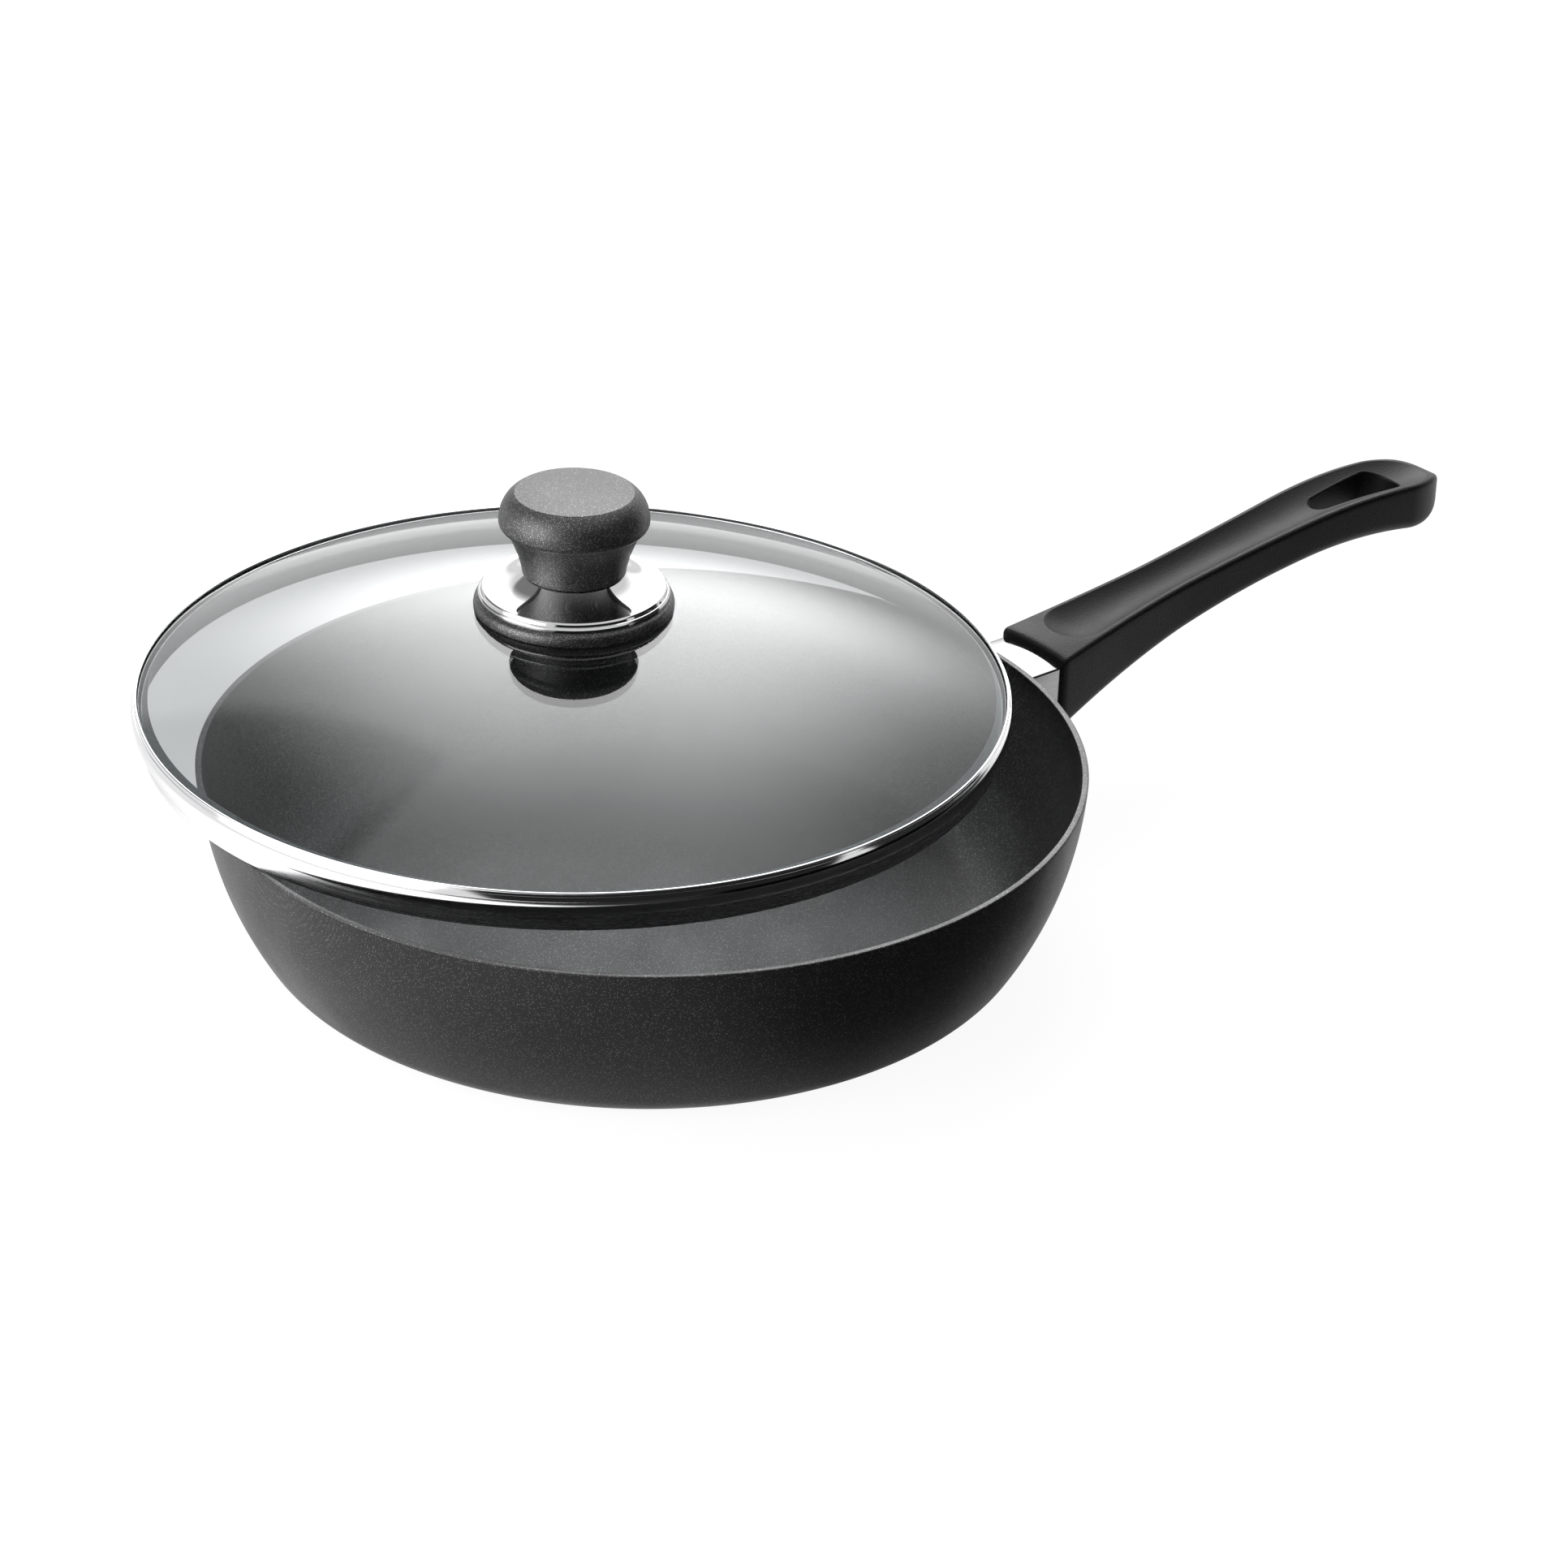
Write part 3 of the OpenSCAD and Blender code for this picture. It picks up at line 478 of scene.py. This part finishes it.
def tip_part(d, run):
    """Share of the rounding at the tip, which starts at run from the end."""
    v = min(1.0, max(0.0, (d - GRIP_LEN + run) / run))
    return 1 - math.sqrt(1 - v * v)


def groove_end(d):
    """How far into one of the groove's round ends d is, from 0 to 1 at the groove's end."""
    return max(0.0, (GROOVE_START + GROOVE_FRONT_RUN - d) / GROOVE_FRONT_RUN,
               (d - GROOVE_FAR + GROOVE_FAR_RUN) / GROOVE_FAR_RUN)


def groove(d, y):
    """Depth of the thumb groove."""
    side = grip_half_width(d) - GROOVE_LAND
    return GROOVE_DEPTH * max(0.0, 1 - groove_end(d) ** 2 - (y / side) ** 2)


def grip_frame(d):
    """Half width, top and bottom of the grip's section."""
    nose = NOSE_IN * (1 - math.sqrt(1 - (1 - d / NOSE_LEN) ** 2)) if d < NOSE_LEN else 0.0
    u = min(1.0, max(0.0, (d - GRIP_LEN + GRIP_CAP) / GRIP_CAP))
    end_h = grip_height(GRIP_LEN)
    top = grip_top(d) - TIP_TOP_SHARE * end_h * tip_part(d, TIP_TOP_RUN) - nose
    bottom = grip_top(d) - grip_height(d) + TIP_UNDER_SHARE * end_h * tip_part(d, TIP_UNDER_RUN) + nose
    half = grip_half_width(d) * (1 - u**GRIP_END_POWER) ** (1 / GRIP_END_POWER) - nose
    return max(0.02, half), top, bottom


def top_surface(d, y):
    """Height of the grip's upper side, with its groove and the crown at its front."""
    w, top, _ = grip_frame(d)
    crown = GRIP_CROWN * (1 - smooth(d / GRIP_CROWN_RUN)) * (1 - (y / w) ** 2)
    return top - groove(d, y) + crown


def half_section(d, y0):
    """Points from the top at y0, over the outer side, to the underside at y0."""
    w, top, bottom = grip_frame(d)
    er = min(GRIP_EDGE_R, 0.3 * w)
    ur = min(GRIP_UNDER_R, 0.6 * w, 0.45 * (top - bottom))
    side = w - er
    edge = (grip_half_width(d) - GROOVE_LAND) * math.sqrt(max(0.0, 1 - groove_end(d) ** 2))
    edge = max(y0 + 0.2 * (side - y0), min(y0 + 0.95 * (side - y0), edge))
    soft = min(0.25, 0.2 * (side - edge), 0.2 * (edge - y0))
    columns = [y0 + (edge - soft - y0) * i / 16 for i in range(17)] + [edge]
    columns += [edge + soft + (side - edge - soft) * i / 3 for i in range(3)]
    line = [(y, top_surface(d, y)) for y in columns]
    line += arc(side, top - er, er, er, 90, 0, 6)
    line += [(w, top - er + (bottom + ur - top + er) * i / 8) for i in range(1, 8)]
    line += arc(w - ur, bottom + ur, ur, ur, 0, -90, 8)
    line += [(w - ur + (y0 - w + ur) * i / 8, bottom) for i in range(1, 9)]
    return line


def slot_half_width(x):
    """Half width of the hanging slot, round at its near end and squarer at its far end."""
    near, far = SLOT_START + SLOT_NEAR_W / 2, SLOT_END - SLOT_CORNER
    share = min(1.0, max(0.0, (x - near) / (far - near)))
    w = SLOT_NEAR_W / 2 + (SLOT_FAR_W - SLOT_NEAR_W) / 2 * share
    if x < near:
        return w * math.sqrt(max(0.0, 1 - ((near - x) / (SLOT_NEAR_W / 2)) ** 2))
    u = max(0.0, (x - far) / SLOT_CORNER)
    return w * max(0.0, 1 - u**SLOT_POWER) ** (1 / SLOT_POWER)


def slot_outline():
    """Half of the slot's outline, its outward directions, and the outline of its rounded mouth."""
    # Points lie close together where the outline turns
    turns = [0.5 - 0.5 * math.cos(math.pi * i / 56) for i in range(57)]
    outline = [Vector((SLOT_START + (SLOT_END - SLOT_START) * t,
                       slot_half_width(SLOT_START + (SLOT_END - SLOT_START) * t))) for t in turns]
    outward = []
    for before, after in zip(outline[:-2], outline[2:]):
        along = after - before
        outward.append(Vector((-along.y, along.x)).normalized())
    outward = [Vector((-1, 0))] + outward + [Vector((1, 0))]
    mouth = [p + o * SLOT_EDGE_R for p, o in zip(outline, outward)]
    return outline, outward, mouth


def grip_stations(mouth):
    """Where the grip's sections stand, each with the half width that the slot takes from it."""
    stations = [(d, 0.0) for d in (0, 0.15, 0.4, 0.8, 1.3, NOSE_LEN)]
    stations += [(NOSE_LEN + (GROOVE_START - NOSE_LEN) * i / 5, 0.0) for i in range(1, 6)]
    # The groove's round front end takes close sections, the straight run to the slot wider ones
    stations += [(GROOVE_START + GROOVE_FRONT_RUN * (1 - math.cos(math.pi / 2 * i / 30)), 0.0)
                 for i in range(1, 31)]
    front = stations[-1][0]
    run = mouth[0].x - 0.4 - GRIP_X - front
    stations += [(front + run * i / 70, 0.0) for i in range(1, 71)]
    stations += [(m.x - GRIP_X, max(0.0, m.y)) for m in mouth]
    last = mouth[-1].x - GRIP_X
    stations += [(last + (GRIP_LEN - last) * math.sin(math.pi / 2 * i / 26), 0.0) for i in range(1, 27)]
    return stations


def slot_wall(outline, outward, mouth, side):
    """Columns of points down one side of the slot's wall, its edges rounded above and below."""
    turned = [math.radians(90 * i / 6) for i in range(1, 7)]
    columns = []
    for p, o, m in zip(outline, outward, mouth):
        top, bottom = top_surface(m.x - GRIP_X, max(0.0, m.y)), grip_frame(m.x - GRIP_X)[2]
        column = [(m, top)]
        column += [(p + o * SLOT_EDGE_R * (1 - math.sin(a)), top - SLOT_EDGE_R * (1 - math.cos(a)))
                   for a in turned]
        column += [(p + o * SLOT_EDGE_R * (1 - math.sin(a)), bottom + SLOT_EDGE_R * (1 - math.cos(a)))
                   for a in reversed(turned)]
        column.append((m, bottom))
        columns.append([(c.x, side * max(0.0, c.y), z) for c, z in column])
    return columns


outline, outward, mouth = slot_outline()
sections = [(d, half_section(d, y0)) for d, y0 in grip_stations(mouth)]
length = len(sections[0][1])
grip_points, grip_faces = [], []
for side in (1, -1):
    first = len(grip_points)
    for d, line in sections:
        grip_points += [(GRIP_X + d, side * y, z) for y, z in line]
    grip_faces += strip_faces(first, len(sections), length)
    # The front is closed in the nose's end section
    middle = len(grip_points)
    grip_points.append((GRIP_X, 0, (grip_frame(0)[1] + grip_frame(0)[2]) / 2))
    grip_faces += [[middle, first + i, first + i + 1] for i in range(length - 1)]
    columns = slot_wall(outline, outward, mouth, side)
    grip_faces += strip_faces(len(grip_points), len(columns), len(columns[0]))
    for column in columns:
        grip_points += column
piece("grip", grip_points, grip_faces, GRIP_PLASTIC, "pan", ["handle_grip"], "grip_black", 40.0)


# Lid glass: a shell between two spheres with a rounded edge and a hole for the fixing

def glass_top(r):
    """Height of the glass's upper side over the lid's plane, at radius r."""
    return DOME_C + math.sqrt(DOME_R**2 - r**2)


def glass_under(r):
    """Height of the glass's underside."""
    return DOME_C + math.sqrt((DOME_R - GLASS_T) ** 2 - r**2)


radii = [HOLE_R + (GLASS_R - HOLE_R) * i / 60 for i in range(61)]
upper = [(r, glass_top(r)) for r in radii]
lower = [(r, glass_under(r)) for r in reversed(radii)]
shell = rounded(upper + lower, [0.4] + [0] * 59 + [0.6, 0.6] + [0] * 59 + [0.4], closed=True)
piece("glass_dome", *lathe(shell, LID, GLASS_STEPS, closed=True), GLASS, "lid", ["lid_glass"],
      "lid_glass", 60.0)

# Band: bead on the glass, bulged side, skirt, and the ledge under the glass
bulge_a = math.degrees(math.asin(BAND_H / 2 / BAND_BULGE_R))
bulge_x = PAN_R - BAND_BULGE_R
bulge_top = bulge_x + BAND_BULGE_R * math.cos(math.radians(bulge_a))
bead = (LIP_R + BEAD_R, glass_top(LIP_R) + BEAD_R + 0.05)
polished = (arc(*bead, BEAD_R, BEAD_R, 190, -20, 10) + [(bulge_top - 0.15, -0.05)]
            + arc(bulge_x, -BAND_H / 2, BAND_BULGE_R, BAND_BULGE_R, bulge_a, -bulge_a, 24))
shoulder = rounded([polished[-1], (bulge_top - 0.5, -BAND_H - 0.25), (SKIRT_R, -BAND_H - 0.25),
                    (SKIRT_R - 0.4, -BAND_H - SKIRT_H), (SKIRT_R - 1.0, -BAND_H - SKIRT_H),
                    (SKIRT_R - SKIRT_T, -BAND_H), (LEDGE_R + 2, -BAND_H + 0.8),
                    (LEDGE_R, glass_under(LEDGE_R) - 0.8), (LEDGE_R, glass_under(LEDGE_R) - 0.05)],
                   [0, 0.25, 0.4, 0.25, 0.25, 0.4, 0.6, 0.3, 0])[1:]
against = [(r, glass_under(r) - 0.05) for r in (LEDGE_R + 1.5, LEDGE_R + 3)] + [
    (GLASS_R + 0.1, glass_under(GLASS_R)), (GLASS_R + 0.1, glass_top(GLASS_R))]
band_profile = polished + shoulder + against
band_points, band_faces = lathe(band_profile, LID, BAND_STEPS, closed=True)
# The inside faces take the darker steel, which is painted shade
band_part = [0 if i < len(polished) else 1 if r > SKIRT_R - 0.5 and z < 0 else 2
             for i, (r, z) in enumerate(band_profile)]
band_finish = [part for part in band_part for _ in range(BAND_STEPS)]
piece("band", band_points, band_faces, ([BAND_METAL, SKIRT_METAL, BAND_INSIDE_SHADED], band_finish), "lid",
      ["lid_rim_band"], "band_steel", 30.0)

# Knob: flared neck, rounded head and a flat top with a soft edge
TOP_OF_GLASS = (LID[0], LID[1], LID[2] + DOME_H)
foot = [(0, FOOT_Z + 0.3), (FOOT_R - 0.8, FOOT_Z + 0.3), (FOOT_R - 0.3, FOOT_Z)]
neck = [(FOOT_R + (CREASE_R - FOOT_R) * (i / 24) ** NECK_POWER, FOOT_Z + (CREASE_Z - FOOT_Z) * i / 24)
        for i in range(25)]
under_head = arc(CREASE_R, WIDE_Z, HEAD_R - CREASE_R, WIDE_Z - CREASE_Z, -78, 0, 16)
shoulder_x = HEAD_R - (HEAD_R - TOP_R) / (1 - math.cos(math.radians(TOP_TURN)))
over_head = arc(shoulder_x, WIDE_Z, HEAD_R - shoulder_x,
                (KNOB_TOP_Z - WIDE_Z) / math.sin(math.radians(TOP_TURN)), 0, TOP_TURN, 24)[1:]
top_edge = rounded([over_head[-2], over_head[-1], (TOP_FLAT_R, KNOB_TOP_Z)], [0, TOP_EDGE_R, 0])[1:-1]
knob_line = (foot + neck + under_head + over_head[:-1] + top_edge
             + [(TOP_FLAT_R, KNOB_TOP_Z), (0, KNOB_TOP_Z)])
# The sides carry far more pale metal flecks than the top, a painted sheen that brightens their highlights,
# and the top is smoother
knob_finish = [1 if z > KNOB_TOP_Z - 0.3 else 0 for _, z in knob_line[:-1] for _ in range(KNOB_STEPS)]
knob_points, knob_faces = lathe(knob_line, TOP_OF_GLASS, KNOB_STEPS)
piece("knob_head", knob_points, knob_faces, ([KNOB_SIDE_SHEEN, KNOB_PLASTIC], knob_finish), "lid", ["knob"],
      "knob_black", 40.0)

# Polished disc: a trumpet curve out to an edge with fine steps
disc_in = DISC_R - 1.4
trumpet = [(disc_in + (FOOT_R - 1 - disc_in) * i / 30, DISC_Z + TRUMPET_H * (i / 30) ** TRUMPET_POWER)
           for i in range(31)]
edge = rounded([(DISC_R - 2.2, BASE_H + 0.05), (DISC_R, BASE_H + 0.05), (DISC_R, BASE_H + 0.9),
                (DISC_R - 0.5, BASE_H + 1.5), (DISC_R - 0.8, BASE_H + 1.6), (DISC_R - 1.0, BASE_H + 2.4),
                trumpet[0], trumpet[1]], [0, 0.1, 0.3, 0.2, 0.15, 0.2, 0.4, 0])
disc_line = edge[:-1] + trumpet[1:] + [(4, FOOT_Z - 0.05), (2.8, FOOT_Z - 0.05), (2.8, FOOT_Z - 1),
                                       (FOOT_R - 2, FOOT_Z - 1)]
disc_line += [(r - 0.6, z - 1) for r, z in reversed(trumpet[:-2])]
piece("disc", *lathe(disc_line, TOP_OF_GLASS, closed=True), MIRROR, "lid", ["knob_disc"],
      "polished_disc", 30.0)

# Black base: a bulge over an undercut, shaped to the dome below
dome_under_base = [(r, -DOME_R + math.sqrt((DOME_R + 0.1) ** 2 - r * r))
                   for r in (29.6, 24, 16, 9, 2.9)]
base_line = ([(2.9, FOOT_Z - 1.1), (9.5, FOOT_Z - 1.1), (9.5, BASE_H - 1.5), (27.5, BASE_H - 1.5),
              (28.1, BASE_H - 0.1), (30.0, BASE_H - 0.1)]
             + arc(DISC_R - 0.2, -0.4, 1.7, 2.8, 80, -18, 24) + dome_under_base)
piece("knob_base_ring", *lathe(base_line, TOP_OF_GLASS, closed=True), BASE_PLASTIC, "lid",
      ["knob_base"], "base_black", 40.0)

# The fixings keep their CAD shapes
FIXINGS = {
    "handle_screw": SCREW_STEEL, "handle_lock_washer": SCREW_STEEL,
    "knob_screw": SCREW_STEEL, "knob_washer": SCREW_STEEL, "knob_lock_washer": SCREW_STEEL,
    "knob_insert": BRASS, "glass_grommet": SILICONE,
}
for node, finish in FIXINGS.items():
    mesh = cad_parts[node].data
    mesh.materials.clear()
    mesh.materials.append(finish)


# Camera, lights and floor
camera = bpy.data.objects.new("camera", bpy.data.cameras.new("camera"))
bpy.context.scene.collection.objects.link(camera)
right, up = Vector(CAMERA_RIGHT), Vector(CAMERA_UP)
back = right.cross(up)
turned = Matrix((right, up, back)).transposed().to_4x4()
camera.matrix_world = Matrix.Translation(Vector(CAMERA_PLACE) * MM) @ turned
camera.data.lens = CAMERA_LENS
camera.data.sensor_width = 36.0
camera.data.clip_start, camera.data.clip_end = 0.01, 100.0
bpy.context.scene.camera = camera


def card(name, centre, facing, width, height, fades, strength=0.0, clear=0.0, through_glass=True):
    """A studio card in metres. With a strength it is a light that adds to what is behind it, and
    grows from its left, right, lower and upper edge over the shares in fades. Without one it is a
    dark flag that shows only in reflections, and clear is the share of light that it lets through.
    Neither shows to the camera, and through_glass is whether it shows to a ray behind glass."""
    mesh = bpy.data.meshes.new(name)
    x, y = width / 2, height / 2
    mesh.from_pydata([(-x, -y, 0), (x, -y, 0), (x, y, 0), (-x, y, 0)], [], [(0, 1, 2, 3)])
    mesh.uv_layers.new(name="card").data.foreach_set("uv", [0, 0, 1, 0, 1, 1, 0, 1])
    obj = bpy.data.objects.new(name, mesh)
    bpy.context.scene.collection.objects.link(obj)
    obj.location = centre
    obj.rotation_mode = "QUATERNION"
    obj.rotation_quaternion = (Vector(facing) - Vector(centre)).to_track_quat("Z", "Y")
    mat, _, add, link = material(name)
    uv = add("SeparateXYZ", {0: add("TexCoord").outputs["UV"]})
    fade = []
    for axis, low_share, high_share in (("X", *fades[:2]), ("Y", *fades[2:])):
        low = ramp(add, uv.outputs[axis], 0.0, low_share, 0.0, 1.0)
        high = ramp(add, uv.outputs[axis], 1 - high_share, 1.0, 1.0, 0.0)
        fade.append(add("Math", {0: low, 1: high}, operation="MULTIPLY").outputs[0])
    share = add("Math", {0: fade[0], 1: fade[1]}, operation="MULTIPLY").outputs[0]
    if strength:
        # Only the side that faces the object gives light
        side = add("Math", {0: 1.0, 1: add("NewGeometry").outputs["Backfacing"]}, operation="SUBTRACT")
        level = add("Math", {0: share, 1: side.outputs[0]}, operation="MULTIPLY").outputs[0]
        power = add("Math", {0: level, 1: strength}, operation="MULTIPLY").outputs[0]
        light = add("Emission", {"Strength": power})
        shown = add("AddShader", {0: light.outputs[0], 1: add("BsdfTransparent").outputs[0]})
    else:
        grey = ramp(add, share, 0.0, 1.0, 1.0, clear)
        shown = add("BsdfTransparent", {"Color": grey})
        obj.visible_diffuse = False
    obj.visible_transmission = through_glass
    link(shown.outputs[0], mat.node_tree.nodes["Material Output"].inputs["Surface"])
    mesh.materials.append(mat)
    obj.visible_camera = False
    obj.visible_shadow = False


def floor_card(name, x, y, z, width, height, fades, **looks):
    """A card that lies on the floor and faces up. It doesn't show to a ray behind glass."""
    card(name, (x, y, z), (x, y, 1.0), width, height, fades, through_glass=False, **looks)


def toward(azimuth, elevation, distance):
    """A place in metres as seen from a point 0.1 m above the origin, angles in degrees."""
    a, e = math.radians(azimuth), math.radians(elevation)
    return (distance * math.cos(e) * math.cos(a), distance * math.cos(e) * math.sin(a),
            0.1 + distance * math.sin(e))


card("softbox_back", toward(51, 39, 1.6), (0, 0.03, 0.1), 1.9, 2.2, (0.42, 0.42, 0.30, 0.50),
     strength=4.4)
card("softbox_top", toward(50, 70, 1.7), (0, 0.03, 0.1), 1.9, 1.6, (0.4, 0.4, 0.4, 0.4), strength=0.7)
card("softbox_left", toward(170, 12, 1.3), (0, 0, 0.1), 1.6, 1.9, (0.25, 0.2, 0.1, 0.35), strength=5.0,
     through_glass=False)
card("flag_left", toward(108, 35, 1.9), (0, 0, 0.1), 1.7, 2.0, (0.15, 0.15, 0.1, 0.1), clear=0.3,
     through_glass=False)
card("flag_front", toward(255, 18, 1.3), (0, 0, 0.08), 2.8, 1.5, (0.08, 0.1, 0.03, 0.15), clear=0.02)
card("flag_right", toward(330, 18, 1.3), (0, 0, 0.08), 1.2, 1.4, (0.1, 0.1, 0.03, 0.2), clear=0.03)
floor_card("flag_floor_far", 0.10, -0.95, 0.0012, 1.9, 1.6, (0.1, 0.1, 0.1, 0.1), clear=0.03)
floor_card("flag_floor_near", 0.56, -0.66, 0.0014, 1.4, 1.22, (0.09, 0.1, 0.1, 0.05), clear=0.05)
floor_card("flag_floor_back", 0.26, 0.33, 0.0012, 0.62, 0.55, (0.15, 0.15, 0.15, 0.15), clear=0.3)
floor_card("glow_floor_left", -0.27, -0.02, 0.001, 0.32, 0.56, (0.3, 0.2, 0.3, 0.3), strength=1.0)


def seen_directly(add):
    """1 for a ray from the camera, a mirror or through glass."""
    path = add("LightPath")
    seen = add("Math", {0: path.outputs["Is Camera Ray"], 1: path.outputs["Is Glossy Ray"]},
               operation="MAXIMUM")
    return add("Math", {0: seen.outputs[0], 1: path.outputs["Is Transmission Ray"]},
               operation="MAXIMUM").outputs[0]


# Floor: white where it is seen, with the object's soft shadow left on it
mat, _, add, link = material("floor")
lit = add("BsdfDiffuse", {"Color": (FLOOR_DIFFUSE, FLOOR_DIFFUSE, FLOOR_DIFFUSE, 1)})
glow = add("Emission", {"Color": (1, 1, 1, 1), "Strength": FLOOR_GLOW})
shown = add("AddShader", {0: lit.outputs[0], 1: glow.outputs[0]})
bounce = add("BsdfDiffuse", {"Color": (FLOOR_BOUNCE, FLOOR_BOUNCE, FLOOR_BOUNCE, 1)})
surface = add("MixShader", {0: seen_directly(add), 1: bounce.outputs[0], 2: shown.outputs[0]})
link(surface.outputs[0], mat.node_tree.nodes["Material Output"].inputs["Surface"])
floor_mesh = bpy.data.meshes.new("floor")
floor_mesh.from_pydata([(x * FLOOR_HALF, y * FLOOR_HALF, FLOOR_Z)
                        for x, y in ((-1, -1), (1, -1), (1, 1), (-1, 1))], [], [(0, 1, 2, 3)])
floor_mesh.materials.append(mat)
floor = bpy.data.objects.new("floor", floor_mesh)
bpy.context.scene.collection.objects.link(floor)

# World: white where it is seen, and an even soft fill for what it lights
world = bpy.data.worlds.new("studio")
bpy.context.scene.world = world
world.use_nodes = True
add = adder(world.node_tree)
level = add("MapRange", {"Value": seen_directly(add), "To Min": WORLD_FILL, "To Max": 1.0})
background = world.node_tree.nodes["Background"]
background.inputs["Color"].default_value = (1, 1, 1, 1)
world.node_tree.links.new(level.outputs["Result"], background.inputs["Strength"])

bpy.context.scene.view_settings.view_transform = "Standard"
